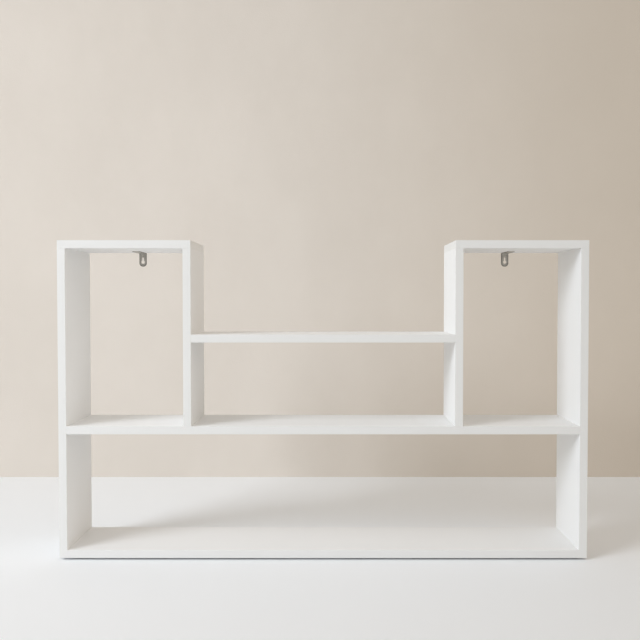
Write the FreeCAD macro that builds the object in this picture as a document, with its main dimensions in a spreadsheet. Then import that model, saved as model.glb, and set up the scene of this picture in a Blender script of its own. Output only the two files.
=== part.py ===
import FreeCAD, Part
import os
from collections import namedtuple

import Sketcher

# A white wall shelf of melamine-faced board. A compartment runs the full width at the bottom, an open
# tower stands on each end of it, and a middle shelf bridges the two towers. All boards are butted and
# screwed, so the boards, their edge bands and their fasteners are separate pieces.
# Millimetres. +X is to the right, the front faces -Y, the wall is at +Y and the pads stand on Z = 0.

# Driving dimensions, one cell of the sheet each
SIZES = {
    # boards
    "overall_width": 1000,
    "overall_depth": 150,
    "board_thickness": 15,
    "lower_opening_height": 220.5,
    "tower_opening_height": 336,
    "tower_opening_width": 221,
    "middle_opening_height": 158.5,
    # edge bands
    "band_thickness": 1,
    "band_edge_radius": 0.5,
    # connector screws
    "screw_inset": 37,
    "screw_length": 50,
    "screw_thread_diameter": 5,
    "screw_collar_diameter": 5.2,
    "screw_head_diameter": 8,
    "screw_head_height": 3.5,
    "screw_point_length": 4,
    "screw_point_diameter": 2.4,
    "screw_socket_width": 3,
    "screw_socket_depth": 2.8,
    "screw_clearance": 0.3,
    # caps on the connector screws
    "cap_diameter": 10.5,
    "cap_height": 1.2,
    "cap_edge_radius": 0.6,
    "cap_peg_clearance": 0.1,
    # dowels
    "dowel_diameter": 6,
    "dowel_length": 30,
    "dowel_chamfer": 1,
    "dowel_cover": 5,
    "dowel_clearance": 0.2,
    # hanging brackets
    "bracket_width": 15,
    "bracket_thickness": 1.2,
    "bracket_leg_length": 60,
    "bracket_drop": 28,
    "bracket_bend_radius": 1.5,
    "bracket_end_radius": 7.2,
    "bracket_corner_radius": 3,
    "keyhole_diameter": 7,
    "keyhole_height": 9.5,
    "keyhole_slot_width": 3,
    "keyhole_slot_rise": 8,
    # screws of the hanging brackets
    "bracket_screw_diameter": 3,
    "bracket_screw_head_diameter": 5.5,
    "bracket_screw_length": 12,
    "bracket_screw_point_length": 3,
    "bracket_screw_wall_distance": 16,
    "bracket_screw_end_distance": 12,
    "bracket_screw_clearance": 0.4,
    # felt pads
    "pad_diameter": 22,
    "pad_thickness": 4,
    "pad_edge_radius": 0.6,
    "pad_inset": 30,
}

# Lengths that follow from the driving dimensions
BOARD = "Sizes.board_thickness"
BAND = "Sizes.band_thickness"
HALF_DEPTH = "Sizes.overall_depth / 2"
CORE_DEPTH = f"(Sizes.overall_depth - 2 * {BAND})"
TOWER_WIDTH = f"(Sizes.tower_opening_width + 2 * {BOARD})"
LOWER_SHELF_LENGTH = f"(Sizes.overall_width - 2 * {BOARD})"
MIDDLE_SHELF_LENGTH = f"(Sizes.overall_width - 2 * {TOWER_WIDTH})"
SIDE_HEIGHT = f"(Sizes.lower_opening_height + {BOARD} + Sizes.tower_opening_height)"
DIVIDER_HEIGHT = "Sizes.tower_opening_height"

# Heights of the boards' undersides above the floor
BOTTOM_Z = "Sizes.pad_thickness"
SIDE_Z = f"({BOTTOM_Z} + {BOARD})"
LOWER_SHELF_Z = f"({SIDE_Z} + Sizes.lower_opening_height)"
DIVIDER_Z = f"({LOWER_SHELF_Z} + {BOARD})"
MIDDLE_SHELF_Z = f"({DIVIDER_Z} + Sizes.middle_opening_height)"
TOP_Z = f"({DIVIDER_Z} + Sizes.tower_opening_height)"

# Distances from the shelf's middle plane
SIDE_FACE_X = "Sizes.overall_width / 2"
SIDE_JOINT_X = f"({SIDE_FACE_X} - {BOARD} / 2)"
DIVIDER_FACE_X = f"({SIDE_FACE_X} - {BOARD} - Sizes.tower_opening_width)"
DIVIDER_JOINT_X = f"({DIVIDER_FACE_X} - {BOARD} / 2)"
TOWER_MIDDLE_X = f"({SIDE_FACE_X} - {TOWER_WIDTH} / 2)"

# Drilling of the butt joints
SCREW_REACH = f"({HALF_DEPTH} - Sizes.screw_inset)"
PILOT_DEPTH = f"(Sizes.screw_length - {BOARD} + Sizes.screw_clearance)"
DOWEL_BORE = "(Sizes.dowel_diameter + Sizes.dowel_clearance)"
DOWEL_START = "(Sizes.dowel_cover + Sizes.dowel_clearance)"
DOWEL_FACE_DEPTH = f"({BOARD} - Sizes.dowel_cover)"
DOWEL_END_DEPTH = f"({DOWEL_START} + Sizes.dowel_length - {BOARD} + Sizes.dowel_clearance)"

# Screws of the hanging brackets: their places along the bracket's long leg, counted from the wall, and
# their heads, whose cone takes most of the strip's thickness
HEAD_SHARE = 0.9
BRACKET_SCREW_PLACES = (
    "Sizes.bracket_screw_wall_distance",
    "(Sizes.bracket_leg_length - Sizes.bracket_screw_end_distance)",
)
BRACKET_SCREW_BORE = "(Sizes.bracket_screw_diameter + Sizes.bracket_screw_clearance)"
BRACKET_SCREW_SEAT = "(Sizes.bracket_screw_head_diameter + Sizes.bracket_screw_clearance)"
BRACKET_HEAD_HEIGHT = f"({HEAD_SHARE} * Sizes.bracket_thickness)"
BRACKET_HEAD_ANGLE = f"2 * atan(({BRACKET_SCREW_SEAT} - {BRACKET_SCREW_BORE}) / 2 / {BRACKET_HEAD_HEIGHT})"
BRACKET_PILOT_DEPTH = (
    "(Sizes.bracket_screw_length - Sizes.bracket_thickness + Sizes.bracket_screw_clearance)"
)

# The most of a wall that a rounded edge may take, alone or facing another on the same wall
LONE_EDGE_SHARE = 0.8
FACING_EDGE_SHARE = 0.48

SIDES = {"left": -1, "right": 1}
ENDS = {"front": -1, "rear": 1}
UP = FreeCAD.Vector(0, 0, 1)
TOLERANCE = 1e-6

# How a sketch numbers its own axes, and the points of its lines and circles
HORIZONTAL_AXIS, VERTICAL_AXIS = range(-1, -3, -1)
START, END, CENTRE = range(1, 4)
ORIGIN_POINT = (HORIZONTAL_AXIS, START)

# How a screw that points up in its own frame is turned to point down, right or left
POINT_UP = FreeCAD.Rotation()
POINT_DOWN = FreeCAD.Rotation(FreeCAD.Vector(1, 0, 0), 180)
POINT_RIGHT = FreeCAD.Rotation(FreeCAD.Vector(0, 1, 0), 90)
POINT_LEFT = FreeCAD.Rotation(FreeCAD.Vector(0, 1, 0), -90)

# A plane to drill from: an origin plane, the drilling's middle in that plane's own axes, and whether
# the drill runs along the plane's normal instead of against it
DrillFace = namedtuple("DrillFace", "role offset along_normal")

# A butt joint: its place on the outer face of the board that the screws pass through, and their direction
Joint = namedtuple("Joint", "x z turn")

doc = FreeCAD.newDocument("WallShelf")
sheet = doc.addObject("Spreadsheet::Sheet", "Sizes")
for row, (alias, value) in enumerate(SIZES.items(), start=1):
    sheet.set(f"A{row}", alias)
    sheet.set(f"B{row}", str(value))
    sheet.setAlias(f"B{row}", alias)
doc.recompute()

nodes = []


def place(thing, x="0", y="0", z="0"):
    for axis, expression in zip("xyz", (x, y, z)):
        thing.setExpression(f"Placement.Base.{axis}", expression)


def value_of(expression):
    return float(sheet.evalExpression(expression))


# Sketches


def new_body(name):
    body = doc.addObject("PartDesign::Body", name)
    body.Label = name
    return body


def new_sketch(body, role, offset=("0", "0", "0")):
    plane = next(feature for feature in body.Origin.OriginFeatures if feature.Role == role)
    sketch = body.newObject("Sketcher::SketchObject", "Sketch")
    sketch.AttachmentSupport = [(plane, "")]
    sketch.MapMode = "FlatFace"
    for axis, expression in zip("xyz", offset):
        sketch.setExpression(f"AttachmentOffset.Base.{axis}", expression)
    return sketch


def dimension(sketch, name, kind, *where, size):
    index = sketch.addConstraint(Sketcher.Constraint(kind, *where, value_of(size)))
    sketch.renameConstraint(index, name)
    sketch.setExpression(f"Constraints.{name}", size)


def draw_loop(sketch, points):
    """Straight lines from point to point and back to the first."""
    lines = [
        sketch.addGeometry(Part.LineSegment(start, end), False)
        for start, end in zip(points, points[1:] + points[:1])
    ]
    for line, following in zip(lines, lines[1:] + lines[:1]):
        sketch.addConstraint(Sketcher.Constraint("Coincident", line, END, following, START))
    return lines


def draw_outline(sketch, corners):
    """A closed outline of straight lines. Each corner is a pair of expressions, none of them negative."""
    lines = draw_loop(sketch, [FreeCAD.Vector(value_of(across), value_of(up), 0) for across, up in corners])
    for line, (across, up) in zip(lines, corners):
        if across == "0":
            sketch.addConstraint(Sketcher.Constraint("PointOnObject", line, START, VERTICAL_AXIS))
        else:
            dimension(sketch, f"across_{line}", "DistanceX", *ORIGIN_POINT, line, START, size=across)
        if up == "0":
            sketch.addConstraint(Sketcher.Constraint("PointOnObject", line, START, HORIZONTAL_AXIS))
        else:
            dimension(sketch, f"up_{line}", "DistanceY", *ORIGIN_POINT, line, START, size=up)


def draw_rectangle(sketch, width, height):
    """A rectangle about the sketch's origin."""
    across, up = value_of(width) / 2, value_of(height) / 2
    bottom, right, top, left = draw_loop(sketch, [
        FreeCAD.Vector(-across, -up, 0),
        FreeCAD.Vector(across, -up, 0),
        FreeCAD.Vector(across, up, 0),
        FreeCAD.Vector(-across, up, 0),
    ])
    for line in (bottom, top):
        sketch.addConstraint(Sketcher.Constraint("Horizontal", line))
    for line in (right, left):
        sketch.addConstraint(Sketcher.Constraint("Vertical", line))
    sketch.addConstraint(Sketcher.Constraint("Symmetric", bottom, START, top, START, *ORIGIN_POINT))
    dimension(sketch, "width", "DistanceX", bottom, START, bottom, END, size=width)
    dimension(sketch, "height", "DistanceY", right, START, right, END, size=height)


def draw_circle(sketch, diameter):
    """A circle about the sketch's origin."""
    circle = sketch.addGeometry(Part.Circle(FreeCAD.Vector(), UP, value_of(diameter) / 2), False)
    sketch.addConstraint(Sketcher.Constraint("Coincident", circle, CENTRE, *ORIGIN_POINT))
    dimension(sketch, "diameter", "Diameter", circle, size=diameter)


def draw_circle_pair(sketch, diameter, reach, along):
    """Two circles at equal reach on both sides of the sketch's origin, along its x or its y axis."""
    radius = value_of(diameter) / 2
    middle = FreeCAD.Vector(value_of(reach), 0, 0) if along == "x" else FreeCAD.Vector(0, value_of(reach), 0)
    first = sketch.addGeometry(Part.Circle(middle, UP, radius), False)
    second = sketch.addGeometry(Part.Circle(-middle, UP, radius), False)
    axis = HORIZONTAL_AXIS if along == "x" else VERTICAL_AXIS
    sketch.addConstraint(Sketcher.Constraint("PointOnObject", first, CENTRE, axis))
    sketch.addConstraint(Sketcher.Constraint("Symmetric", first, CENTRE, second, CENTRE, *ORIGIN_POINT))
    sketch.addConstraint(Sketcher.Constraint("Equal", first, second))
    distance = "DistanceX" if along == "x" else "DistanceY"
    dimension(sketch, "reach", distance, *ORIGIN_POINT, first, CENTRE, size=reach)
    dimension(sketch, "diameter", "Diameter", first, size=diameter)


def draw_hexagon(sketch, width):
    """A hexagon about the sketch's origin, given across its flats."""
    across_corners = f"{width} / cos(30 deg)"
    radius = value_of(across_corners) / 2
    corner = FreeCAD.Vector(radius, 0, 0)
    sides = draw_loop(sketch, [FreeCAD.Rotation(UP, 60 * turn).multVec(corner) for turn in range(6)])
    circle = sketch.addGeometry(Part.Circle(FreeCAD.Vector(), UP, radius), True)
    sketch.addConstraint(Sketcher.Constraint("Coincident", circle, CENTRE, *ORIGIN_POINT))
    for side in sides:
        sketch.addConstraint(Sketcher.Constraint("PointOnObject", side, START, circle))
    for side in sides[1:]:
        sketch.addConstraint(Sketcher.Constraint("Equal", sides[0], side))
    sketch.addConstraint(Sketcher.Constraint("PointOnObject", sides[0], START, HORIZONTAL_AXIS))
    dimension(sketch, "across_corners", "Diameter", circle, size=across_corners)


# Features


def pad(body, sketch, length):
    feature = body.newObject("PartDesign::Pad", "Pad")
    feature.Profile = sketch
    feature.setExpression("Length", length)
    doc.recompute()
    return feature


def revolve(body, sketch):
    feature = body.newObject("PartDesign::Revolution", "Revolution")
    feature.Profile = sketch
    feature.ReferenceAxis = (sketch, ["V_Axis"])
    doc.recompute()
    return feature


def confirm_cut(feature):
    doc.recompute()
    if not feature.Shape.Volume < feature.BaseFeature.Shape.Volume:
        raise RuntimeError(f"{feature.Name} cuts nothing")


def pocket(body, sketch, depth, along_normal):
    feature = body.newObject("PartDesign::Pocket", "Pocket")
    feature.Profile = sketch
    feature.Reversed = along_normal
    feature.setExpression("Length", depth)
    confirm_cut(feature)


def hole(body, sketch, along_normal, cut_type, **sizes):
    """Through holes at the sketch's circles, counterbored or countersunk on the sketch's side."""
    feature = body.newObject("PartDesign::Hole", "Hole")
    feature.Profile = sketch
    doc.recompute()
    feature.Threaded = False
    feature.DepthType = "ThroughAll"
    feature.Reversed = along_normal
    feature.HoleCutType = cut_type
    feature.HoleCutCustomValues = True
    for name, expression in sizes.items():
        feature.setExpression(name, expression)
    confirm_cut(feature)


def round_edges(body, base, chosen, radius):
    """Rounds the edges of the base feature that chosen(edge) picks."""
    names = [f"Edge{number}" for number, edge in enumerate(base.Shape.Edges, start=1) if chosen(edge)]
    feature = body.newObject("PartDesign::Fillet", "Fillet")
    feature.Base = (base, names)
    feature.setExpression("Radius", radius)
    doc.recompute()
    return feature


def limited(radius, wall, share):
    return f"min({radius}; {share} * {wall})"


def lies_at(edge, axis, position):
    return all(abs(getattr(vertex.Point, axis) - position) < TOLERANCE for vertex in edge.Vertexes)


def runs_along(edge, axis):
    return abs(getattr(edge.tangentAt(edge.FirstParameter), axis)) > 1 - TOLERANCE


# Boards and their drilling


def depth_axis(role):
    return "x" if role == "YZ_Plane" else "y"


def drill_screw_holes(body, face):
    bore = "Sizes.screw_collar_diameter + Sizes.screw_clearance"
    sketch = new_sketch(body, face.role, face.offset)
    draw_circle_pair(sketch, bore, SCREW_REACH, depth_axis(face.role))
    hole(
        body, sketch, face.along_normal, "Counterbore",
        Diameter=bore,
        HoleCutDiameter="Sizes.screw_head_diameter + Sizes.screw_clearance",
        HoleCutDepth="Sizes.screw_head_height",
    )


def drill_pilot_holes(body, face):
    sketch = new_sketch(body, face.role, face.offset)
    draw_circle_pair(sketch, "Sizes.screw_thread_diameter", SCREW_REACH, depth_axis(face.role))
    pocket(body, sketch, PILOT_DEPTH, face.along_normal)


def drill_dowel_hole(body, face, depth):
    sketch = new_sketch(body, face.role, face.offset)
    draw_circle(sketch, DOWEL_BORE)
    pocket(body, sketch, depth, face.along_normal)


def drill_board_face(body, outer, inner):
    """The half of a butt joint in the board that the screws pass through."""
    drill_screw_holes(body, outer)
    drill_dowel_hole(body, inner, DOWEL_FACE_DEPTH)


def drill_board_end(body, end):
    """The half of a butt joint in the board whose end is butted."""
    drill_pilot_holes(body, end)
    drill_dowel_hole(body, end, DOWEL_END_DEPTH)


def make_flat_board(name, core_length, x, z):
    body = new_body(name)
    sketch = new_sketch(body, "XY_Plane")
    draw_rectangle(sketch, core_length, CORE_DEPTH)
    pad(body, sketch, BOARD)
    place(body, x=x, z=z)
    nodes.append(body)
    return body


def drill_flat_board(body, joint_x, from_above):
    for sign in SIDES.values():
        top = DrillFace("XY_Plane", (f"{sign} * {joint_x}", "0", BOARD), False)
        underside = DrillFace("XY_Plane", (f"{sign} * {joint_x}", "0", "0"), True)
        if from_above:
            drill_board_face(body, outer=top, inner=underside)
        else:
            drill_board_face(body, outer=underside, inner=top)


def drill_flat_board_ends(body, length):
    for sign in SIDES.values():
        offset = ("0", f"{BOARD} / 2", f"{sign} * {length} / 2")
        drill_board_end(body, DrillFace("YZ_Plane", offset, sign < 0))


def make_upright(name, side, height, face_x, z, joint_height):
    """A side panel or divider: its outer face, where the screws enter, is at face_x from the middle."""
    body = new_body(name)
    sketch = new_sketch(body, "YZ_Plane", ("0", f"{height} / 2", "0"))
    draw_rectangle(sketch, CORE_DEPTH, height)
    pad(body, sketch, BOARD)
    near = DrillFace("YZ_Plane", ("0", joint_height, "0"), True)
    far = DrillFace("YZ_Plane", ("0", joint_height, BOARD), False)
    if side == "left":
        place(body, x=f"-{face_x}", z=z)
        drill_board_face(body, outer=near, inner=far)
    else:
        place(body, x=f"{face_x} - {BOARD}", z=z)
        drill_board_face(body, outer=far, inner=near)
    drill_board_end(body, DrillFace("XY_Plane", (f"{BOARD} / 2", "0", "0"), True))
    drill_board_end(body, DrillFace("XY_Plane", (f"{BOARD} / 2", "0", height), False))
    nodes.append(body)


# Edge bands


def make_band(name, size, at, outward, wrap=False):
    """A strip on a board's edge. outward is the axis and sign of the side that shows. Its two long edges
    there are rounded, and its ends too where it wraps a free corner."""
    body = new_body(name)
    width, depth, height = size
    sketch = new_sketch(body, "XY_Plane")
    draw_rectangle(sketch, width, depth)
    strip = pad(body, sketch, height)
    axis, sign = outward
    shown = sign * value_of(width if axis == "x" else depth) / 2
    long_axis = max(zip(map(value_of, size), "xyz"))[1]

    def is_rounded(edge):
        return lies_at(edge, axis, shown) and (wrap or runs_along(edge, long_axis))

    round_edges(body, strip, is_rounded, limited("Sizes.band_edge_radius", BAND, LONE_EDGE_SHARE))
    place(body, *at)
    nodes.append(body)


def make_long_bands(board, width, height, x, z, wrap=False):
    """The bands on the front and rear edge of a board."""
    for end, sign in ENDS.items():
        y = f"{sign} * ({HALF_DEPTH} - {BAND} / 2)"
        make_band(f"{board}_{end}_band", (width, BAND, height), (x, y, z), ("y", sign), wrap)


def make_end_bands(board, length, x, z):
    """The bands on the free left and right end of a board."""
    for side, sign in SIDES.items():
        end_x = f"{x} + {sign} * ({length} - {BAND}) / 2"
        make_band(f"{board}_{side}_band", (BAND, CORE_DEPTH, BOARD), (end_x, "0", z), ("x", sign))


# Fasteners, each pointing up from the outer face that it is driven into


def make_connector_screw():
    body = new_body("connector_screw")
    head = "Sizes.screw_head_diameter / 2"
    collar = "Sizes.screw_collar_diameter / 2"
    thread = "Sizes.screw_thread_diameter / 2"
    sketch = new_sketch(body, "XZ_Plane")
    draw_outline(sketch, [
        ("0", "0"),
        (head, "0"),
        (head, "Sizes.screw_head_height"),
        (collar, "Sizes.screw_head_height"),
        (collar, BOARD),
        (thread, BOARD),
        (thread, "Sizes.screw_length - Sizes.screw_point_length"),
        ("Sizes.screw_point_diameter / 2", "Sizes.screw_length"),
        ("0", "Sizes.screw_length"),
    ])
    revolve(body, sketch)
    socket = new_sketch(body, "XY_Plane")
    draw_hexagon(socket, "Sizes.screw_socket_width")
    pocket(body, socket, "Sizes.screw_socket_depth", along_normal=True)
    return body


def make_cap():
    body = new_body("screw_cap")
    disc_sketch = new_sketch(body, "XY_Plane", ("0", "0", "-Sizes.cap_height"))
    draw_circle(disc_sketch, "Sizes.cap_diameter")
    disc = pad(body, disc_sketch, "Sizes.cap_height")
    rim = -value_of("Sizes.cap_height")
    radius = limited("Sizes.cap_edge_radius", "Sizes.cap_height", LONE_EDGE_SHARE)
    round_edges(body, disc, lambda edge: lies_at(edge, "z", rim), radius)
    peg = new_sketch(body, "XY_Plane")
    draw_hexagon(peg, "(Sizes.screw_socket_width - Sizes.cap_peg_clearance)")
    pad(body, peg, "Sizes.screw_socket_depth - Sizes.cap_peg_clearance")
    return body


def make_dowel():
    body = new_body("dowel")
    sketch = new_sketch(body, "XY_Plane", ("0", "0", DOWEL_START))
    draw_circle(sketch, "Sizes.dowel_diameter")
    rod = pad(body, sketch, "Sizes.dowel_length")
    chamfer = body.newObject("PartDesign::Chamfer", "Chamfer")
    rims = [f"Edge{number}" for number, edge in enumerate(rod.Shape.Edges, start=1) if edge.Closed]
    chamfer.Base = (rod, rims)
    chamfer.setExpression("Size", "Sizes.dowel_chamfer")
    doc.recompute()
    return body


def make_bracket_screw():
    body = new_body("bracket_screw")
    shank = "Sizes.bracket_screw_diameter / 2"
    head = "Sizes.bracket_screw_head_diameter / 2"
    sketch = new_sketch(body, "XZ_Plane")
    draw_outline(sketch, [
        ("0", "0"),
        (head, "0"),
        (shank, BRACKET_HEAD_HEIGHT),
        (shank, "Sizes.bracket_screw_length - Sizes.bracket_screw_point_length"),
        ("0", "Sizes.bracket_screw_length"),
    ])
    revolve(body, sketch)
    return body


def make_group(name, piece, places):
    """Copies of a fastener, one solid each. A place is x, y and z expressions and a turn."""
    copies = []
    for x, y, z, turn in places:
        copy = doc.addObject("App::Link", f"{name}_copy")
        copy.LinkedObject = piece
        copy.Placement = FreeCAD.Placement(FreeCAD.Vector(), turn)
        place(copy, x, y, z)
        copies.append(copy)
    group = doc.addObject("Part::Compound", name)
    group.Label = name
    group.Links = copies
    nodes.append(group)


# Brackets and pads


def make_bracket(side):
    """An L-shaped strip with a keyhole. In its own frame it is upside down, with its bend at the origin,
    its long leg along +Y under the top board and its short leg along +Z against the wall."""
    body = new_body(f"{side}_hanging_bracket")
    thickness = "Sizes.bracket_thickness"
    leg_sketch = new_sketch(body, "XY_Plane", ("0", "Sizes.bracket_leg_length / 2", "0"))
    draw_rectangle(leg_sketch, "Sizes.bracket_width", "Sizes.bracket_leg_length")
    pad(body, leg_sketch, thickness)
    drop_sketch = new_sketch(body, "XY_Plane", ("0", f"{thickness} / 2", "0"))
    draw_rectangle(drop_sketch, "Sizes.bracket_width", thickness)
    blank = pad(body, drop_sketch, "Sizes.bracket_drop")

    leg_end = value_of("Sizes.bracket_leg_length")
    drop_end = value_of("Sizes.bracket_drop")
    inner = value_of(thickness)
    inner_bend = round_edges(
        body, blank,
        lambda edge: lies_at(edge, "y", inner) and lies_at(edge, "z", inner),
        "Sizes.bracket_bend_radius",
    )
    outer_bend = round_edges(
        body, inner_bend,
        lambda edge: lies_at(edge, "y", 0) and lies_at(edge, "z", 0),
        f"Sizes.bracket_bend_radius + {thickness}",
    )
    rounded_end = round_edges(
        body, outer_bend,
        lambda edge: lies_at(edge, "z", drop_end) and runs_along(edge, "y"),
        limited("Sizes.bracket_end_radius", "Sizes.bracket_width", FACING_EDGE_SHARE),
    )
    round_edges(
        body, rounded_end,
        lambda edge: lies_at(edge, "y", leg_end) and runs_along(edge, "z"),
        limited("Sizes.bracket_corner_radius", "Sizes.bracket_width", FACING_EDGE_SHARE),
    )

    for from_wall in BRACKET_SCREW_PLACES:
        sketch = new_sketch(body, "XY_Plane", ("0", from_wall, thickness))
        draw_circle(sketch, BRACKET_SCREW_BORE)
        hole(
            body, sketch, False, "Countersink",
            Diameter=BRACKET_SCREW_BORE,
            HoleCutDiameter=BRACKET_SCREW_SEAT,
            HoleCutCountersinkAngle=BRACKET_HEAD_ANGLE,
        )

    keyhole_z = "(Sizes.bracket_drop - Sizes.keyhole_height)"
    keyhole = new_sketch(body, "XZ_Plane", ("0", keyhole_z, "0"))
    draw_circle(keyhole, "Sizes.keyhole_diameter")
    pocket(body, keyhole, thickness, along_normal=False)
    slot_end = new_sketch(body, "XZ_Plane", ("0", f"{keyhole_z} - Sizes.keyhole_slot_rise", "0"))
    draw_circle(slot_end, "Sizes.keyhole_slot_width")
    pocket(body, slot_end, thickness, along_normal=False)
    slot = new_sketch(body, "XZ_Plane", ("0", f"{keyhole_z} - Sizes.keyhole_slot_rise / 2", "0"))
    draw_rectangle(slot, "Sizes.keyhole_slot_width", "Sizes.keyhole_slot_rise")
    pocket(body, slot, thickness, along_normal=False)

    body.Placement = FreeCAD.Placement(FreeCAD.Vector(), POINT_DOWN)
    place(body, f"{SIDES[side]} * {TOWER_MIDDLE_X}", HALF_DEPTH, TOP_Z)
    nodes.append(body)


def drill_bracket_pilot_holes(body):
    for from_wall in BRACKET_SCREW_PLACES:
        sketch = new_sketch(body, "XY_Plane", ("0", f"{HALF_DEPTH} - {from_wall}", "0"))
        draw_circle(sketch, "Sizes.bracket_screw_diameter")
        pocket(body, sketch, BRACKET_PILOT_DEPTH, along_normal=True)


def make_pad(name, x, y):
    body = new_body(name)
    sketch = new_sketch(body, "XY_Plane")
    draw_circle(sketch, "Sizes.pad_diameter")
    disc = pad(body, sketch, "Sizes.pad_thickness")
    radius = limited("Sizes.pad_edge_radius", "Sizes.pad_thickness", LONE_EDGE_SHARE)
    round_edges(body, disc, lambda edge: lies_at(edge, "z", 0), radius)
    place(body, x, y)
    nodes.append(body)


# Bottom board, lower shelf and middle shelf
bottom_board = make_flat_board("bottom_board", f"Sizes.overall_width - 2 * {BAND}", "0", BOTTOM_Z)
drill_flat_board(bottom_board, SIDE_JOINT_X, from_above=False)
make_long_bands("bottom_board", "Sizes.overall_width", BOARD, "0", BOTTOM_Z, wrap=True)
make_end_bands("bottom_board", "Sizes.overall_width", "0", BOTTOM_Z)

lower_shelf = make_flat_board("lower_shelf", LOWER_SHELF_LENGTH, "0", LOWER_SHELF_Z)
drill_flat_board(lower_shelf, DIVIDER_JOINT_X, from_above=False)
drill_flat_board_ends(lower_shelf, LOWER_SHELF_LENGTH)
make_long_bands("lower_shelf", LOWER_SHELF_LENGTH, BOARD, "0", LOWER_SHELF_Z)

middle_shelf = make_flat_board("middle_shelf", MIDDLE_SHELF_LENGTH, "0", MIDDLE_SHELF_Z)
drill_flat_board_ends(middle_shelf, MIDDLE_SHELF_LENGTH)
make_long_bands("middle_shelf", MIDDLE_SHELF_LENGTH, BOARD, "0", MIDDLE_SHELF_Z)

# The two towers: side panel, divider, top board and hanging bracket
bracket_screw = make_bracket_screw()
for side, sign in SIDES.items():
    side_joint = f"(Sizes.lower_opening_height + {BOARD} / 2)"
    make_upright(f"{side}_side_panel", side, SIDE_HEIGHT, SIDE_FACE_X, SIDE_Z, side_joint)
    make_long_bands(f"{side}_side_panel", BOARD, SIDE_HEIGHT, f"{sign} * {SIDE_JOINT_X}", SIDE_Z)

    divider_joint = f"(Sizes.middle_opening_height + {BOARD} / 2)"
    make_upright(f"{side}_divider", side, DIVIDER_HEIGHT, DIVIDER_FACE_X, DIVIDER_Z, divider_joint)
    make_long_bands(f"{side}_divider", BOARD, DIVIDER_HEIGHT, f"{sign} * {DIVIDER_JOINT_X}", DIVIDER_Z)

    top_name = f"{side}_top_board"
    middle_x = f"{sign} * {TOWER_MIDDLE_X}"
    top_board = make_flat_board(top_name, f"{TOWER_WIDTH} - 2 * {BAND}", middle_x, TOP_Z)
    drill_flat_board(top_board, f"({TOWER_WIDTH} - {BOARD}) / 2", from_above=True)
    drill_bracket_pilot_holes(top_board)
    make_long_bands(top_name, TOWER_WIDTH, BOARD, middle_x, TOP_Z, wrap=True)
    make_end_bands(top_name, TOWER_WIDTH, middle_x, TOP_Z)

    make_bracket(side)
    underside_z = f"{TOP_Z} - Sizes.bracket_thickness"
    make_group(f"{side}_bracket_screws", bracket_screw, [
        (middle_x, f"{HALF_DEPTH} - {from_wall}", underside_z, POINT_UP)
        for from_wall in BRACKET_SCREW_PLACES
    ])

    for end, front_sign in ENDS.items():
        pad_x = f"{sign} * ({SIDE_FACE_X} - Sizes.pad_inset)"
        pad_y = f"{front_sign} * ({HALF_DEPTH} - Sizes.pad_inset)"
        make_pad(f"{end}_{side}_pad", pad_x, pad_y)

# Connector screws, caps and dowels of every butt joint, grouped by the board that the screws pass through
side_joint_z = f"{LOWER_SHELF_Z} + {BOARD} / 2"
divider_joint_z = f"{MIDDLE_SHELF_Z} + {BOARD} / 2"
joints = {
    "top_board": [
        Joint(f"{sign} * {joint_x}", f"{TOP_Z} + {BOARD}", POINT_DOWN)
        for sign in SIDES.values()
        for joint_x in (SIDE_JOINT_X, DIVIDER_JOINT_X)
    ],
    "bottom_board": [Joint(f"{sign} * {SIDE_JOINT_X}", BOTTOM_Z, POINT_UP) for sign in SIDES.values()],
    "side_panel": [
        Joint(f"-{SIDE_FACE_X}", side_joint_z, POINT_RIGHT),
        Joint(SIDE_FACE_X, side_joint_z, POINT_LEFT),
    ],
    "lower_shelf": [Joint(f"{sign} * {DIVIDER_JOINT_X}", LOWER_SHELF_Z, POINT_UP) for sign in SIDES.values()],
    "divider": [
        Joint(f"-{DIVIDER_FACE_X}", divider_joint_z, POINT_RIGHT),
        Joint(DIVIDER_FACE_X, divider_joint_z, POINT_LEFT),
    ],
}
connector_screw = make_connector_screw()
cap = make_cap()
dowel = make_dowel()
for board, board_joints in joints.items():
    screw_places = [
        (joint.x, f"{sign} * {SCREW_REACH}", joint.z, joint.turn)
        for joint in board_joints
        for sign in ENDS.values()
    ]
    dowel_places = [(joint.x, "0", joint.z, joint.turn) for joint in board_joints]
    make_group(f"{board}_screws", connector_screw, screw_places)
    make_group(f"{board}_caps", cap, screw_places)
    make_group(f"{board}_dowels", dowel, dowel_places)

doc.recompute()
for thing in doc.Objects:
    if "Invalid" in thing.State or "Error" in thing.State:
        raise RuntimeError(f"{thing.Label} failed: {thing.State}")
for node in nodes:
    if node.Shape.isNull() or not node.Shape.isValid():
        raise RuntimeError(f"{node.Label} has no valid shape")

os.makedirs("parts", exist_ok=True)
for node in nodes:
    node.Shape.exportStep(f"parts/{node.Label}.step")
print(f"{len(nodes)} nodes")
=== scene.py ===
import math

import bmesh
import bpy
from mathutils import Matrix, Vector


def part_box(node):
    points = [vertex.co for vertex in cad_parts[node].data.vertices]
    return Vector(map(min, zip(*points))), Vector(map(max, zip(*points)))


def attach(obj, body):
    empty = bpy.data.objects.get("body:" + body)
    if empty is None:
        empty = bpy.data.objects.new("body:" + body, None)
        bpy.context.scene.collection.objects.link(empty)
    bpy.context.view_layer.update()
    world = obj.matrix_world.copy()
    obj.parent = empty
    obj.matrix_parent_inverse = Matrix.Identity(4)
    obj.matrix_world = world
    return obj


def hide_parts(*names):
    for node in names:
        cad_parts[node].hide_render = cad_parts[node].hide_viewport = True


# The finishes and the small detail of a white wall shelf: melamine boards with grained edge bands, moulded
# screw caps, zinc-plated hanging brackets with cross-recessed screws, and felt pads.
# Metres. +X is to the right, the front faces -Y and the pads stand on Z = 0.

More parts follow.
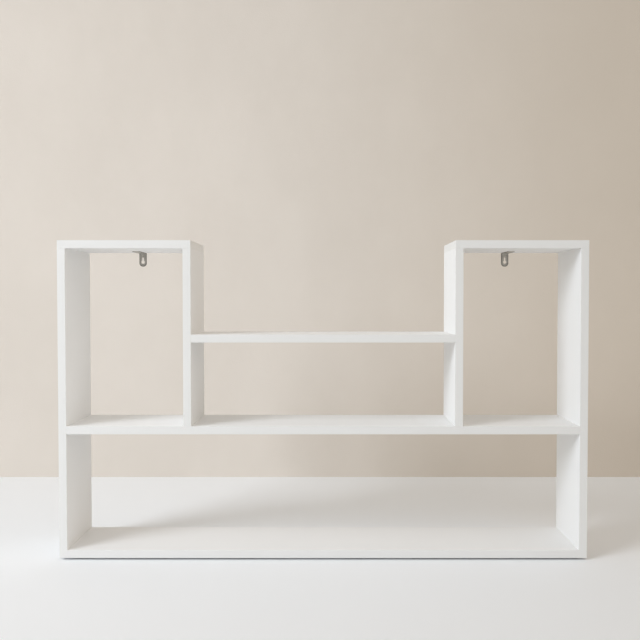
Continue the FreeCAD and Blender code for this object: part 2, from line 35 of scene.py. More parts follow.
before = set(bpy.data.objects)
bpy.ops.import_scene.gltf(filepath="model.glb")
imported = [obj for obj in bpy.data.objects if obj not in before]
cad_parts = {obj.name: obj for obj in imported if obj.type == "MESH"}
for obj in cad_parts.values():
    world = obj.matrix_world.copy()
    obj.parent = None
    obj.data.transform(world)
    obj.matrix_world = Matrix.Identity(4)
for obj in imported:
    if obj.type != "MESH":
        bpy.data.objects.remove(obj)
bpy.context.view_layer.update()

UP = Vector((0, 0, 1))
DOWN = Vector((0, 0, -1))
SIDES = ("left", "right")

# Camera
CAMERA_PLACE = (0.0165, -1.5248, 0.4908)
CAMERA_PITCH = -0.0243
CAMERA_SHIFT = -0.0185
SENSOR_WIDTH = 36
FOCAL_LENGTH = 43.35

# Light
WINDOW_PLACE = Vector((-2.48, -1.77, 1.89))
WINDOW_AIM = Vector((-0.1, 0, 0.42))
WINDOW_SIZE = 1.5
WINDOW_POWER = 21.4
WINDOW_SPREAD = math.radians(100)
WINDOW_COLOUR = (0.877, 0.926, 1)
DAYLIGHT_LEFT = 0.44
DAYLIGHT_COLOUR = (0.88, 1, 0.98)
FILL_OVERHEAD = 0.545
FILL_RIGHT = 0.9
FILL_COLOUR = (1, 0.917, 0.83)
BACKDROP = (0.72, 0.715, 0.7)

# Room
WALL_Y = 0.617
ROOM_REACH = 30

# Meshes
SMOOTH_ANGLE = math.radians(32)
MERGE_DISTANCE = 1e-6
FINE_MERGE_DISTANCE = 1e-7

# Edge bands: the grain is drawn out along the band by a small scale on that axis
ALONG_GRAIN = 0.018

# Caps
CAP_SIDES = 48
CAP_PEG_SIDES = 6
CAP_PEG_RADIUS = 0.00165
CAP_EDGE_SHARE = 0.5
CAP_ROUNDING_ANGLES = range(0, 91, 18)

# Bracket screws
SCREW_SIDES = 40
SCREW_SHANK_RADIUS = 0.0015
SCREW_HEAD_SHARE = 0.9
SCREW_CLEARANCE = 0.0002
THREAD_TURNS = 6
THREAD_STEPS = 20

# Hanging brackets
ARRIS = 0.00025
BEND_CUTS = 9
BEND_RADIUS = 0.0015
END_RADIUS = 0.0072
CORNER_RADIUS = 0.003
KEYHOLE_RADIUS = 0.0035
KEYHOLE_HEIGHT = 0.0095
SLOT_RADIUS = 0.0015
SLOT_RISE = 0.008

# Felt pads
PAD_SIDES = 72
PAD_EDGE_RADIUS = 0.0006
FIBRE_LENGTH = 0.0008
FIBRE_RADIUS = 0.00003
FIBRES_PER_SQUARE_METRE = 3.2e6
FIBRE_SEED = 7
LEAN_SEED = 11
SIDE_LEAN = 0.9
TWIST = 3.1

# The place of a Mix node's colour among its outputs
MIXED_COLOUR = 2


class Value:
    """An output of a node. Arithmetic on it adds Math nodes to its tree."""

    def __init__(self, tree, node, output=0):
        self.tree = tree
        self.node = node
        self.choice = output

    @property
    def socket(self):
        return self.node.outputs[self.choice]

    def output(self, name):
        """Another output of the same node."""
        return Value(self.tree, self.node, name)

    def __add__(self, other):
        return self.tree.maths("ADD", self, other)

    def __radd__(self, other):
        return self.tree.maths("ADD", other, self)

    def __sub__(self, other):
        return self.tree.maths("SUBTRACT", self, other)

    def __rsub__(self, other):
        return self.tree.maths("SUBTRACT", other, self)

    def __mul__(self, other):
        return self.tree.maths("MULTIPLY", self, other)

    def __rmul__(self, other):
        return self.tree.maths("MULTIPLY", other, self)

    def __truediv__(self, other):
        return self.tree.maths("DIVIDE", self, other)

    def __rtruediv__(self, other):
        return self.tree.maths("DIVIDE", other, self)

    def __abs__(self):
        return self.tree.maths("ABSOLUTE", self)

    def rises(self, low, high):
        """0 below low and 1 above high, with a smooth step between them."""
        return self.tree.node(
            "ShaderNodeMapRange",
            {"interpolation_type": "SMOOTHSTEP"},
            {"Value": self, "From Min": low, "From Max": high},
        )


class NodeTree:
    """A tree of nodes that is built up by calls and by arithmetic on its values."""

    def __init__(self, tree):
        self.tree = tree

    def node(self, kind, settings=None, sockets=None, output=0):
        """A node of that kind. Its settings are made first, then its sockets get values or links."""
        made = self.tree.nodes.new(kind)
        for name, setting in (settings or {}).items():
            setattr(made, name, setting)
        for name, content in (sockets or {}).items():
            self.fill(made, name, content)
        return Value(self, made, output)

    def fill(self, node, name, content):
        """Links a socket to a value or to each of a list of values, or else sets it."""
        socket = next(s for s in node.inputs if s.enabled and name in (s.name, s.identifier))
        for part in content if isinstance(content, list) else [content]:
            if isinstance(part, Value):
                self.tree.links.new(part.socket, socket)
            else:
                socket.default_value = (*part, 1) if socket.type == "RGBA" else part

    def maths(self, operation, *numbers):
        sockets = dict(zip(("Value", "Value_001", "Value_002"), numbers))
        return self.node("ShaderNodeMath", {"operation": operation}, sockets)

    def place(self, stretch=(1, 1, 1)):
        """The object's own coordinates. A pattern on them is drawn out along an axis with a small stretch."""
        coordinates = self.node("ShaderNodeTexCoord", output="Object")
        return self.node("ShaderNodeMapping", sockets={"Vector": coordinates, "Scale": stretch})

    def axis(self, name):
        """One of the object's own coordinates."""
        return self.node("ShaderNodeSeparateXYZ", sockets={"Vector": self.place()}).output(name)

    def noise(self, scale, stretch=(1, 1, 1), detail=2, roughness=0.5):
        sockets = {"Vector": self.place(stretch), "Scale": scale, "Detail": detail, "Roughness": roughness}
        return self.node("ShaderNodeTexNoise", sockets=sockets)

    def mix(self, share, first, second):
        """The first colour where the share is 0 and the second where it is 1."""
        return self.node(
            "ShaderNodeMix",
            {"data_type": "RGBA"},
            {"Factor_Float": share, "A_Color": first, "B_Color": second},
            output=MIXED_COLOUR,
        )


class Finish(NodeTree):
    """A material under construction."""

    def __init__(self, name):
        self.material = bpy.data.materials.new(name)
        self.material.use_nodes = True
        super().__init__(self.material.node_tree)
        self.tree.nodes.clear()

    def surface(self, colour, roughness, relief=None, depth=0, **fixed):
        """The finished surface. relief from 0 to 1 stands up to depth metres; fixed are shader sockets."""
        sockets = {"Base Color": colour, "Roughness": roughness, **fixed}
        if relief is not None:
            sockets["Normal"] = self.node("ShaderNodeBump", sockets={"Height": relief, "Distance": depth})
        return self.node("ShaderNodeBsdfPrincipled", sockets=sockets)

    def done(self, shader):
        self.node("ShaderNodeOutputMaterial", sockets={"Surface": shader})
        return self.material


class Maker(NodeTree):
    """A Geometry Nodes tree that makes a piece at each of the points it is given."""

    def __init__(self, name, *sizes):
        super().__init__(bpy.data.node_groups.new(name, "GeometryNodeTree"))
        self.sockets = {}
        kinds = {
            "Places": "NodeSocketGeometry",
            **dict.fromkeys(sizes, "NodeSocketFloat"),
            "Material": "NodeSocketMaterial",
        }
        for label, kind in kinds.items():
            socket = self.tree.interface.new_socket(label, in_out="INPUT", socket_type=kind)
            self.sockets[label] = socket.identifier
        self.tree.interface.new_socket("Piece", in_out="OUTPUT", socket_type="NodeSocketGeometry")
        self.inputs = self.tree.nodes.new("NodeGroupInput")

    def given(self, name):
        """The tree's own input of that name."""
        return Value(self, self.inputs, name)

    def turned(self, rings, sides):
        """A closed turned shape through rings of radius and height, from the lowest to the last."""
        radius, height = rings[0]
        disc = self.node(
            "GeometryNodeMeshCircle", {"fill_type": "NGON"}, {"Vertices": sides, "Radius": radius}
        )
        shape, top = disc, True
        for next_radius, next_height in rings[1:]:
            raised = self.node(
                "GeometryNodeExtrudeMesh",
                {"mode": "FACES"},
                {"Mesh": shape, "Selection": top, "Offset": UP, "Offset Scale": next_height - height,
                 "Individual": False},
            )
            top = raised.output("Top")
            shape = self.node(
                "GeometryNodeScaleElements",
                {"domain": "FACE"},
                {"Geometry": raised, "Selection": top, "Scale": next_radius / radius},
            )
            radius, height = next_radius, next_height
        underside = self.node("GeometryNodeFlipFaces", sockets={"Mesh": disc})
        closed = self.node(
            "GeometryNodeMergeByDistance",
            sockets={"Geometry": self.joined(shape, underside), "Distance": FINE_MERGE_DISTANCE},
        )
        return self.lifted(closed, rings[0][1])

    def joined(self, *shapes):
        return self.node("GeometryNodeJoinGeometry", sockets={"Geometry": list(shapes)})

    def lifted(self, shape, height):
        sockets = {"Geometry": shape, "Translation": self.point(z=height)}
        return self.node("GeometryNodeTransform", sockets=sockets)

    def point(self, x=0, y=0, z=0):
        return self.node("ShaderNodeCombineXYZ", sockets={"X": x, "Y": y, "Z": z})

    def done(self, piece):
        """Puts the piece at every place, turned so that its own Z lies along the place's facing."""
        facing = self.node(
            "GeometryNodeInputNamedAttribute", {"data_type": "FLOAT_VECTOR"}, {"Name": "facing"}
        )
        turn = self.node("FunctionNodeAlignRotationToVector", {"axis": "Z"}, {"Vector": facing})
        copies = self.node(
            "GeometryNodeInstanceOnPoints",
            sockets={"Points": self.given("Places"), "Instance": piece, "Rotation": turn},
        )
        plain = self.node("GeometryNodeRealizeInstances", sockets={"Geometry": copies})
        coated = self.node(
            "GeometryNodeSetMaterial", sockets={"Geometry": plain, "Material": self.given("Material")}
        )
        self.node("NodeGroupOutput", sockets={"Piece": coated})

    def make(self, name, places, material, **sizes):
        """A plain mesh of the pieces at the places, each a point and the direction that it faces."""
        points = bpy.data.meshes.new(name)
        points.from_pydata([point for point, facing in places], [], [])
        facings = points.attributes.new("facing", "FLOAT_VECTOR", "POINT")
        for record, (point, facing) in zip(facings.data, places):
            record.vector = facing
        source = add_object(name, points)
        modifier = source.modifiers.new(name, "NODES")
        modifier.node_group = self.tree
        for label, content in {**sizes, "Material": material}.items():
            modifier[self.sockets[label]] = content
        return as_plain_mesh(source)


def add_object(name, data):
    made = bpy.data.objects.new(name, data)
    bpy.context.scene.collection.objects.link(made)
    return made


def as_plain_mesh(source):
    """Replaces an object with its evaluated mesh, smooth but for its sharp edges."""
    name = source.name
    source.name = f"{name}_source"
    evaluated = source.evaluated_get(bpy.context.evaluated_depsgraph_get())
    mesh = bpy.data.meshes.new_from_object(evaluated)
    bpy.data.objects.remove(source)
    mesh.name = name
    mesh.polygons.foreach_set("use_smooth", [True] * len(mesh.polygons))
    mesh.set_sharp_from_angle(angle=SMOOTH_ANGLE)
    return add_object(name, mesh)


def stand_in(piece, slot, *replaced):
    """Shows the piece in place of the solids that it is made from."""
    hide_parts(*replaced)
    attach(piece, "root")


def solids_of(node):
    """The lowest and highest corner of each separate solid in a node."""
    shape = bmesh.new()
    shape.from_mesh(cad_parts[node].data)
    bmesh.ops.remove_doubles(shape, verts=shape.verts, dist=MERGE_DISTANCE)
    waiting = set(shape.verts)
    boxes = []
    while waiting:
        island = [waiting.pop()]
        for vertex in island:
            linked = {edge.other_vert(vertex) for edge in vertex.link_edges} & waiting
            waiting -= linked
            island.extend(linked)
        corners = list(zip(*(vertex.co for vertex in island)))
        boxes.append((Vector(map(min, corners)), Vector(map(max, corners))))
    shape.free()
    return sorted(boxes, key=lambda box: tuple(box[0]))


# Sizes read from the solids
bracket_low, bracket_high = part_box("left_hanging_bracket")
cap_low, cap_high = solids_of("top_board_caps")[0]
screw_low, screw_high = solids_of("left_bracket_screws")[0]
top_low, top_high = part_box("left_top_board")
TOWER_MIDDLE = -(bracket_low.x + bracket_high.x) / 2
BRACKET_HALF_WIDTH = (bracket_high.x - bracket_low.x) / 2
BRACKET_THICKNESS = top_low.z - screw_low.z
BRACKET_END_MIDDLE_Z = bracket_low.z + BRACKET_HALF_WIDTH
SCREW_HEAD_RADIUS = (screw_high.x - screw_low.x) / 2
CAP_RADIUS = (cap_high.x - cap_low.x) / 2
CAP_HEIGHT = cap_high.z - top_high.z
CAP_PEG_LENGTH = top_high.z - cap_low.z
FRONT_SEAM = -top_low.y
END_SEAM = top_high.x + TOWER_MIDDLE


# Finishes of the shelf


def white_facing():
    """Melamine facing: an even satin white with a fine pearl texture."""
    finish = Finish("white_facing")
    cloud = finish.noise(scale=5)
    wiped = finish.noise(scale=14, stretch=(1, 1, 0.3), detail=4)
    pearl = finish.noise(scale=1600, detail=3)
    colour = finish.mix(cloud, (0.895, 0.895, 0.888), (0.912, 0.912, 0.906))
    satin = {"Specular IOR Level": 0.2}
    roughness = 0.56 + 0.1 * wiped
    return finish.done(finish.surface(colour, roughness, relief=pearl, depth=0.00004, **satin))


def white_edging(name, stretch, across, seam):
    """Edge band: white with a faint grain along its length, and a hairline of glue at its board.

    across measures along the band's thickness, and seam is the place of the glue line on that measure."""
    finish = Finish(name)
    streaks = finish.noise(scale=950, stretch=stretch, detail=3)
    pores = finish.noise(scale=1900, stretch=stretch, detail=2).rises(0.6, 0.72)
    cloud = finish.noise(scale=7)
    glue = 1 - abs(across(finish) - seam).rises(0.00003, 0.00016)
    grain = 0.75 * streaks + 0.25 * cloud
    plain = finish.mix(grain, (0.851, 0.851, 0.836), (0.877, 0.877, 0.862))
    pored = finish.mix(0.25 * pores, plain, (0.8, 0.795, 0.775))
    colour = finish.mix(0.5 * glue, pored, (0.62, 0.585, 0.52))
    relief = streaks - 0.6 * pores - 0.8 * glue
    roughness = 0.4 + 0.12 * streaks
    return finish.done(finish.surface(colour, roughness, relief=relief, depth=0.00003))


def depth_from_middle(finish):
    """How far a point lies in front of or behind the shelf's middle."""
    return abs(finish.axis("Y"))


def reach_from_tower_middle(finish):
    """How far a point lies to the side of its own tower's middle."""
    return abs(abs(finish.axis("X")) - TOWER_MIDDLE)


def steel(name, dark, light):
    """Zinc-plated turned steel, with the fine rings of its turning."""
    finish = Finish(name)
    stain = finish.noise(scale=300, detail=3)
    rings = finish.noise(scale=3000, detail=2)
    colour = finish.mix(stain, dark, light)
    roughness = 0.3 + 0.2 * stain
    return finish.done(finish.surface(colour, roughness, relief=rings, depth=0.00002, Metallic=0.9))


def beech():
    """Bare beech with its grain upright and the short dark flecks of its rays."""
    finish = Finish("beech")
    grain = finish.noise(scale=900, stretch=(1, 1, 0.06), detail=3)
    flecks = finish.noise(scale=2200, stretch=(1, 1, 0.15), detail=1).rises(0.62, 0.72)
    plain = finish.mix(grain, (0.64, 0.46, 0.3), (0.78, 0.62, 0.45))
    colour = finish.mix(0.5 * flecks, plain, (0.45, 0.28, 0.16))
    roughness = 0.6 + 0.15 * grain
    return finish.done(finish.surface(colour, roughness, relief=grain, depth=0.00008))


def cap_plastic():
    """Moulded white plastic with a fine grained face."""
    finish = Finish("cap_plastic")
    cloud = finish.noise(scale=260)
    grained = finish.noise(scale=4200, detail=2)
    colour = finish.mix(cloud, (0.84, 0.842, 0.832), (0.87, 0.872, 0.864))
    roughness = 0.34 + 0.1 * cloud
    return finish.done(finish.surface(colour, roughness, relief=grained, depth=0.00002))


def bracket_zinc():
    """Dull zinc plating: cloudy crystals, fine drawn lines and painted shade that darkens the rim."""
    finish = Finish("bracket_zinc")
    dark, light = (0.41, 0.39, 0.35), (0.6, 0.58, 0.54)
    rim_shade_colour = tuple(0.42 * part for part in dark)
    crystals = finish.node("ShaderNodeTexVoronoi", sockets={"Vector": finish.place(), "Scale": 420})
    tint = finish.node("ShaderNodeSeparateColor", sockets={"Color": crystals.output("Color")}).output("Red")
    lines = finish.noise(scale=2600, stretch=(0.02, 1, 1), detail=3)
    stain = finish.noise(scale=120, detail=4)
    across = reach_from_tower_middle(finish)
    below = finish.maths("MINIMUM", finish.axis("Z") - BRACKET_END_MIDDLE_Z, 0)
    from_spine = finish.maths("SQRT", across * across + below * below)
    # painted shade: the rim along the strip's sides and round its lower end is darkened
    rim = from_spine.rises(0.55 * BRACKET_HALF_WIDTH, BRACKET_HALF_WIDTH)
    shade = 0.3 * tint + 0.3 * lines + 0.4 * stain
    colour = finish.mix(0.8 * rim, finish.mix(shade, dark, light), rim_shade_colour)
    roughness = 0.42 + 0.16 * stain + 0.1 * lines
    return finish.done(finish.surface(colour, roughness, relief=lines, depth=0.00002, Metallic=0.6))


def felt():
    """Pressed grey felt: pale and dark tufts with single hairs over them."""
    finish = Finish("felt")
    tufts = finish.noise(scale=700, detail=4, roughness=0.7)
    hairs = finish.noise(scale=5200, detail=3, roughness=0.7)
    mixed = 0.5 * tufts + 0.5 * hairs
    colour = finish.mix(mixed.rises(0.3, 0.7), (0.24, 0.235, 0.225), (0.52, 0.51, 0.49))
    nap = {"Sheen Weight": 0.3}
    return finish.done(finish.surface(colour, roughness=0.95, relief=hairs, depth=0.0003, **nap))


def finish_solids():
    """Gives each solid its finish. Those that a made piece stands in for don't show."""
    long_edging = white_edging("white_edging_lengthwise", (ALONG_GRAIN, 1, 1), depth_from_middle, FRONT_SEAM)
    upright_edging = white_edging("white_edging_upright", (1, 1, ALONG_GRAIN), depth_from_middle, FRONT_SEAM)
    end_edging = white_edging("white_edging_ends", (1, ALONG_GRAIN, 1), reach_from_tower_middle, END_SEAM)
    facing = white_facing()
    connector_steel = steel("connector_steel", (0.5, 0.49, 0.46), (0.68, 0.67, 0.63))
    dowel_beech = beech()
    for name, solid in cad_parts.items():
        if name.endswith(("left_band", "right_band")):
            finish = end_edging
        elif name.endswith("band"):
            finish = upright_edging if "panel" in name or "divider" in name else long_edging
        elif name.endswith("dowels"):
            finish = dowel_beech
        elif name.endswith("screws"):
            finish = connector_steel
        else:
            finish = facing
        solid.material_slots[0].material = finish


# Pieces that repeat


def make_caps(material):
    """Moulded caps: a rounded disc with a gate mark in its middle and a hexagon peg below."""
    maker = Maker("screw_cap", "Radius", "Height", "Edge radius", "Peg radius", "Peg length")
    radius, height, edge = (maker.given(name) for name in ("Radius", "Height", "Edge radius"))
    peg_radius, peg_length = maker.given("Peg radius"), maker.given("Peg length")
    rounding = [
        (radius - edge * (1 - math.cos(turn)), height - edge * (1 - math.sin(turn)))
        for turn in map(math.radians, CAP_ROUNDING_ANGLES)
    ]
    gate_rim, gate_floor, gate_depth = 0.13 * radius, 0.1 * radius, 0.1 * height
    gate_mark = [(gate_rim, height), (gate_floor, height - gate_depth)]
    disc = maker.turned([(radius, 0), *rounding, *gate_mark], CAP_SIDES)
    tip_radius, shoulder = 0.85 * peg_radius, -0.8 * peg_length
    peg = maker.turned([(tip_radius, 0 - peg_length), (peg_radius, shoulder), (peg_radius, 0)], CAP_PEG_SIDES)
    maker.done(maker.joined(disc, peg))
    sizes = {"Radius": CAP_RADIUS, "Height": CAP_HEIGHT, "Edge radius": CAP_EDGE_SHARE * CAP_HEIGHT,
             "Peg radius": CAP_PEG_RADIUS, "Peg length": CAP_PEG_LENGTH}
    level_facings = {"top_board": UP, "bottom_board": DOWN, "lower_shelf": DOWN}
    for board in ("top_board", "bottom_board", "side_panel", "lower_shelf", "divider"):
        node = f"{board}_caps"
        places = []
        for low, high in solids_of(node):
            middle = (low + high) / 2
            outward = Vector((math.copysign(1, middle.x), 0, 0))
            facing = level_facings.get(board, outward)
            outer = middle + facing * (high - low).dot(Vector(map(abs, facing))) / 2
            places.append((outer - facing * CAP_HEIGHT, facing))
        stand_in(maker.make(f"moulded_{node}", places, material, **sizes), "white_cap", node)


def make_bracket_screws(material):
    """Countersunk screws with a cross recess and a thread."""
    maker = Maker("cross_recessed_screw", "Head radius", "Head height", "Shank radius", "Length")
    head, head_height = maker.given("Head radius"), maker.given("Head height")
    shank, length = maker.given("Shank radius"), maker.given("Length")
    tip, core = 0.15 * shank, 0.72 * shank
    rim, face = 0.97 * head, 0.93 * head
    blank = maker.turned([
        (tip, 0 - length),
        (core, -0.8 * length),
        (core, 0 - head_height),
        (rim, -0.06 * head_height),
        (face, 0),
    ], SCREW_SIDES)
    slot_length, slot_width, slot_height = 0.94 * head, 0.24 * head, 0.54 * head
    slots = [
        maker.node("GeometryNodeMeshCube", sockets={"Size": maker.point(x, y, slot_height)})
        for x, y in ((slot_length, slot_width), (slot_width, slot_length))
    ]
    body = maker.node(
        "GeometryNodeMeshBoolean",
        {"operation": "DIFFERENCE", "solver": "MANIFOLD"},
        {"Mesh 1": blank, "Mesh 2": slots},
    )
    ridge = maker.node(
        "GeometryNodeCurvePrimitiveCircle", {"mode": "RADIUS"}, {"Resolution": 3, "Radius": shank - core}
    )
    thread_start, thread_length = -0.84 * length, 0.62 * length
    spiral = maker.node(
        "GeometryNodeCurveSpiral",
        sockets={"Resolution": THREAD_STEPS, "Rotations": THREAD_TURNS, "Start Radius": core,
                 "End Radius": core, "Height": thread_length},
    )
    thread = maker.node(
        "GeometryNodeCurveToMesh", sockets={"Curve": spiral, "Profile Curve": ridge, "Fill Caps": True}
    )
    maker.done(maker.joined(body, maker.lifted(thread, thread_start)))
    for side in SIDES:
        node = f"{side}_bracket_screws"
        places = []
        for low, high in solids_of(node):
            places.append((Vector(((low.x + high.x) / 2, (low.y + high.y) / 2, low.z)), DOWN))
        sizes = {"Head radius": SCREW_HEAD_RADIUS, "Head height": SCREW_HEAD_SHARE * BRACKET_THICKNESS,
                 "Shank radius": SCREW_SHANK_RADIUS, "Length": high.z - low.z}
        screws = maker.make(f"{side}_cross_recessed_screws", places, material, **sizes)
        stand_in(screws, "bracket_screw_zinc", node)


def make_felt_pads(material):
    """Felt discs with loose fibres on their cut edge."""
    maker = Maker("felt_disc", "Radius", "Thickness", "Edge radius", "Fibre length", "Fibre radius", "Fibres")
    radius, thickness, edge = (maker.given(name) for name in ("Radius", "Thickness", "Edge radius"))
    disc = maker.turned([
        (radius - edge, 0),
        (radius - 0.3 * edge, 0.3 * edge),
        (radius, edge),
        (radius, 0.5 * thickness),
        (radius, thickness),
    ], PAD_SIDES)

    # the fibres grow where the disc's surface faces sideways
    normal = maker.node("GeometryNodeInputNormal")
    upward = maker.node("ShaderNodeSeparateXYZ", sockets={"Vector": normal}).output("Z")
    cut_edge = maker.maths("LESS_THAN", abs(upward), 0.5)
    roots = maker.node(
        "GeometryNodeDistributePointsOnFaces",
        {"distribute_method": "RANDOM"},
        {"Mesh": disc, "Selection": cut_edge, "Density": maker.given("Fibres"), "Seed": FIBRE_SEED},
    )

    # one fibre bends over as it rises
    reach = maker.given("Fibre length")
    start, bend, end = (maker.point(x=x * reach, z=z * reach) for x, z in ((0, -0.2), (0.1, 0.6), (0.6, 0.8)))
    hair = maker.node(
        "GeometryNodeCurveQuadraticBezier",
        sockets={"Resolution": 4, "Start": start, "Middle": bend, "End": end},
    )
    section = maker.node(
        "GeometryNodeCurvePrimitiveCircle", sockets={"Resolution": 3, "Radius": maker.given("Fibre radius")}
    )
    fibre = maker.node(
        "GeometryNodeCurveToMesh", sockets={"Curve": hair, "Profile Curve": section, "Fill Caps": True}
    )
    most = Vector((SIDE_LEAN, SIDE_LEAN, TWIST))
    lean = maker.node(
        "FunctionNodeRandomValue",
        {"data_type": "FLOAT_VECTOR"},
        {"Min": -most, "Max": most, "Seed": LEAN_SEED},
    )
    turn = maker.node(
        "FunctionNodeRotateRotation",
        {"rotation_space": "LOCAL"},
        {"Rotation": roots.output("Rotation"), "Rotate By": lean},
    )
    fibres = maker.node(
        "GeometryNodeInstanceOnPoints", sockets={"Points": roots, "Instance": fibre, "Rotation": turn}
    )

    # none of them reaches below the pad
    loose = maker.node("GeometryNodeRealizeInstances", sockets={"Geometry": fibres})
    at = maker.node("ShaderNodeSeparateXYZ", sockets={"Vector": maker.node("GeometryNodeInputPosition")})
    above_ground = maker.point(at.output("X"), at.output("Y"), maker.maths("MAXIMUM", at.output("Z"), 0))
    resting = maker.node("GeometryNodeSetPosition", sockets={"Geometry": loose, "Position": above_ground})
    maker.done(maker.joined(disc, resting))
    for end_name in ("front", "rear"):
        for side in SIDES:
            node = f"{end_name}_{side}_pad"
            low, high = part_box(node)
            foot = Vector(((low.x + high.x) / 2, (low.y + high.y) / 2, low.z))
            sizes = {"Radius": (high.x - low.x) / 2, "Thickness": high.z - low.z,
                     "Edge radius": PAD_EDGE_RADIUS, "Fibre length": FIBRE_LENGTH,
                     "Fibre radius": FIBRE_RADIUS, "Fibres": FIBRES_PER_SQUARE_METRE}
            pad = maker.make(f"{end_name}_{side}_felt_pad", [(foot, UP)], material, **sizes)
            stand_in(pad, "grey_felt", node)


# Hanging brackets


def closed_spline(curve, points):
    """Adds a closed run of straight lines through points across and along the curve's plane."""
    spline = curve.splines.new("POLY")
    spline.points.add(len(points) - 1)
    for point, (across, along) in zip(spline.points, points):
        point.co = (across, along, 0, 1)
    spline.use_cyclic_u = True


def arc(middle, radius, start, end, steps):
    """Points on an arc from one angle to another, in degrees."""
    angles = [math.radians(start + (end - start) * step / steps) for step in range(steps + 1)]
    return [(middle[0] + radius * math.cos(a), middle[1] + radius * math.sin(a)) for a in angles]


def make_bracket(side, material):
    """A pressed strip: a flat blank with holes and rounded arrises, bent into an L as the real one is."""
    node = f"{side}_hanging_bracket"
    low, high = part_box(node)
    middle_x = (low.x + high.x) / 2
    half, thickness = BRACKET_HALF_WIDTH, BRACKET_THICKNESS
    bend_y, bend_z = high.y - BEND_RADIUS - thickness, high.z - BEND_RADIUS - thickness
    leg, drop = bend_y - low.y, bend_z - low.z
    neutral = BEND_RADIUS + thickness / 2
    bend = neutral * math.pi / 2

    # the blank lies flat, its bend from 0 to bend and its lower end beyond
    inset = half - ARRIS
    end_radius, corner = END_RADIUS - ARRIS, CORNER_RADIUS - ARRIS
    far, near = bend + drop - ARRIS, ARRIS - leg
    outline = [
        *arc((inset - end_radius, far - end_radius), end_radius, 0, 90, steps=12),
        *arc((end_radius - inset, far - end_radius), end_radius, 90, 180, steps=12),
        *arc((corner - inset, near + corner), corner, 180, 270, steps=8),
        *arc((inset - corner, near + corner), corner, 270, 360, steps=8),
    ]
    blank = bpy.data.curves.new(node, "CURVE")
    blank.dimensions = "2D"
    blank.fill_mode = "BOTH"
    blank.extrude = thickness / 2 - ARRIS
    blank.bevel_depth = ARRIS
    blank.bevel_resolution = 2
    closed_spline(blank, outline)
    hole, slot = KEYHOLE_RADIUS + ARRIS, SLOT_RADIUS + ARRIS
    keyhole = bend + drop - KEYHOLE_HEIGHT
    meet = math.degrees(math.asin(slot / hole))
    closed_spline(blank, [
        *arc((0, keyhole), hole, -90 + meet, 270 - meet, steps=32),
        *arc((0, keyhole - SLOT_RISE), slot, 180, 360, steps=12),
    ])
    screw_hole = SCREW_HEAD_RADIUS + SCREW_CLEARANCE + ARRIS
    for low_screw, high_screw in solids_of(f"{side}_bracket_screws"):
        along = (low_screw.y + high_screw.y) / 2 - bend_y
        closed_spline(blank, arc((0, along), screw_hole, 0, 350, steps=35))
    plate = as_plain_mesh(add_object(f"{side}_pressed_bracket", blank))

    # cuts across the bend let it turn in steps
    shape = bmesh.new()
    shape.from_mesh(plate.data)
    bmesh.ops.remove_doubles(shape, verts=shape.verts, dist=MERGE_DISTANCE)
    for cut in range(BEND_CUTS + 1):
        everything = shape.verts[:] + shape.edges[:] + shape.faces[:]
        place = (0, bend * cut / BEND_CUTS, 0)
        bmesh.ops.bisect_plane(
            shape, geom=everything, plane_co=place, plane_no=(0, 1, 0), dist=FINE_MERGE_DISTANCE
        )
    for vertex in shape.verts:
        across, along, out = vertex.co
        turned = min(max(along, 0), bend) / neutral
        past = along - turned * neutral
        reach = neutral + out
        y = reach * math.sin(turned) + past * math.cos(turned)
        z = reach * math.cos(turned) - past * math.sin(turned)
        vertex.co = (middle_x + across, bend_y + y, bend_z + z)
    bmesh.ops.recalc_face_normals(shape, faces=shape.faces)
    shape.to_mesh(plate.data)
    shape.free()
    plate.data.set_sharp_from_angle(angle=SMOOTH_ANGLE)
    plate.data.materials.clear()
    plate.data.materials.append(material)
    stand_in(plate, "bracket_zinc", node)


# Room, light and camera


def seen_from_front(finish, shader):
    """A surface of the room that shows from its front alone, so that it never hides the shelf."""
    behind = finish.node("ShaderNodeNewGeometry", output="Backfacing")
    clear = finish.node("ShaderNodeBsdfTransparent")
    return finish.node("ShaderNodeMixShader", sockets={"Fac": behind, "Shader": shader, "Shader_001": clear})


def plaster():
    """Warm grey plaster in cloudy trowel marks, with painted shade that makes it darker and browner towards
    the right.
    """
    finish = Finish("plaster")
    patches = finish.noise(scale=2.2, detail=5, roughness=0.55)
    trowel = finish.noise(scale=9, stretch=(1, 1, 0.5), detail=4)
    grit = finish.noise(scale=420, detail=2)
    tone = (0.65 * patches + 0.35 * trowel).rises(0.32, 0.68)
    plain = finish.mix(tone, (0.77, 0.708, 0.638), (0.81, 0.748, 0.678))
    # painted shade: the wall darkens and browns towards the right
    rightward = finish.axis("X").rises(-0.2, 1)
    colour = finish.mix(0.5 * rightward, plain, (0.68, 0.58, 0.46))
    shader = finish.surface(colour, roughness=0.9, relief=grit, depth=0.0004)
    return finish.done(seen_from_front(finish, shader))


def pale_floor():
    """A matt and nearly white floor."""
    finish = Finish("pale_floor")
    cloud = finish.noise(scale=1.6, detail=3)
    colour = finish.mix(cloud, (0.912, 0.93, 0.95), (0.927, 0.945, 0.965))
    matt = {"Specular IOR Level": 0.2}
    shader = finish.surface(colour, roughness=0.8 + 0.05 * cloud, **matt)
    return finish.done(seen_from_front(finish, shader))


def make_sheet(name, corners, material):
    """A flat piece of the room."""
    mesh = bpy.data.meshes.new(name)
    mesh.from_pydata(corners, [], [range(len(corners))])
    mesh.materials.append(material)
    add_object(name, mesh)


def make_room():
    """A floor all round the shelf and a wall behind it."""
    far = ROOM_REACH
    make_sheet("floor", [(-far, -far, 0), (far, -far, 0), (far, far, 0), (-far, far, 0)], pale_floor())
    foot = [(-far, WALL_Y, 0), (far, WALL_Y, 0)]
    make_sheet("wall", [*foot, (far, WALL_Y, far), (-far, WALL_Y, far)], plaster())


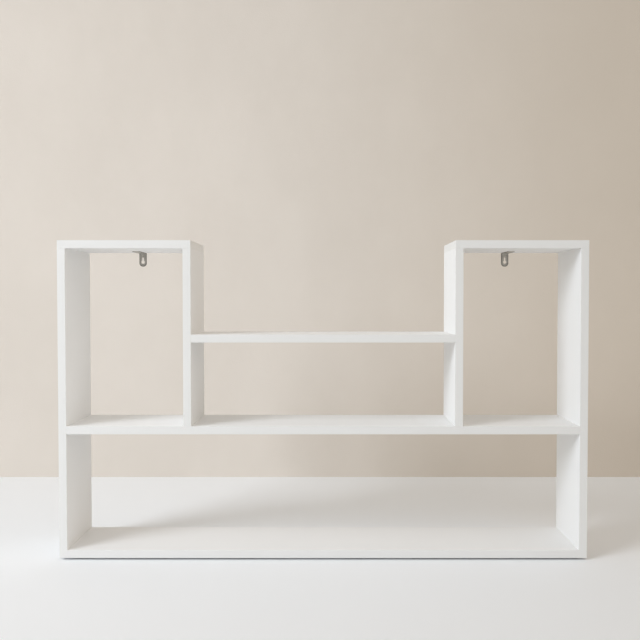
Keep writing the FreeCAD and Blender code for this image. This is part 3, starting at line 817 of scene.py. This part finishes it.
def make_window():
    """A soft window at the front left."""
    window = bpy.data.lights.new("window", "AREA")
    window.shape = "SQUARE"
    window.size = WINDOW_SIZE
    window.energy = WINDOW_POWER
    window.spread = WINDOW_SPREAD
    window.color = WINDOW_COLOUR
    placed = add_object("window", window)
    placed.location = WINDOW_PLACE
    placed.rotation_euler = (WINDOW_AIM - WINDOW_PLACE).to_track_quat("-Z", "Y").to_euler()


def make_sky():
    """Daylight from the left and a warm fill from above and from the right. What the camera sees, directly
    or in a reflection, is an even backdrop."""
    world = bpy.data.worlds.new("sky")
    bpy.context.scene.world = world
    world.use_nodes = True
    sky = NodeTree(world.node_tree)
    sky.tree.nodes.clear()
    x, z = sky.axis("X"), sky.axis("Z")
    overhead, leftward, rightward = (sky.maths("MAXIMUM", side, 0) for side in (z, 0 - x, x))
    daylight = DAYLIGHT_LEFT * leftward
    day = sky.node("ShaderNodeBackground", sockets={"Color": DAYLIGHT_COLOUR, "Strength": daylight})
    warmth = FILL_OVERHEAD * overhead + FILL_RIGHT * rightward
    fill = sky.node("ShaderNodeBackground", sockets={"Color": FILL_COLOUR, "Strength": warmth})
    light = sky.node("ShaderNodeAddShader", sockets={"Shader": day, "Shader_001": fill})
    backdrop = sky.node("ShaderNodeBackground", sockets={"Color": BACKDROP})
    ray = sky.node("ShaderNodeLightPath")
    seen = ray.output("Is Camera Ray") + ray.output("Is Glossy Ray") + ray.output("Is Transmission Ray")
    shown = sky.node("ShaderNodeMixShader", sockets={"Fac": seen, "Shader": light, "Shader_001": backdrop})
    sky.node("ShaderNodeOutputWorld", sockets={"Surface": shown})


def make_camera():
    """The view of the photo, fitted to the edges of the boards."""
    camera = bpy.data.cameras.new("camera")
    camera.sensor_width = SENSOR_WIDTH
    camera.lens = FOCAL_LENGTH
    camera.shift_x = CAMERA_SHIFT
    placed = add_object("camera", camera)
    placed.location = CAMERA_PLACE
    placed.rotation_euler = (math.pi / 2 + CAMERA_PITCH, 0, 0)
    bpy.context.scene.camera = placed


finish_solids()
make_caps(cap_plastic())
make_bracket_screws(steel("bracket_screw_zinc", (0.45, 0.44, 0.41), (0.62, 0.61, 0.57)))
make_felt_pads(felt())
pressed_zinc = bracket_zinc()
for side in SIDES:
    make_bracket(side, pressed_zinc)
make_room()
make_window()
make_sky()
make_camera()
bpy.context.scene.view_settings.view_transform = "Standard"
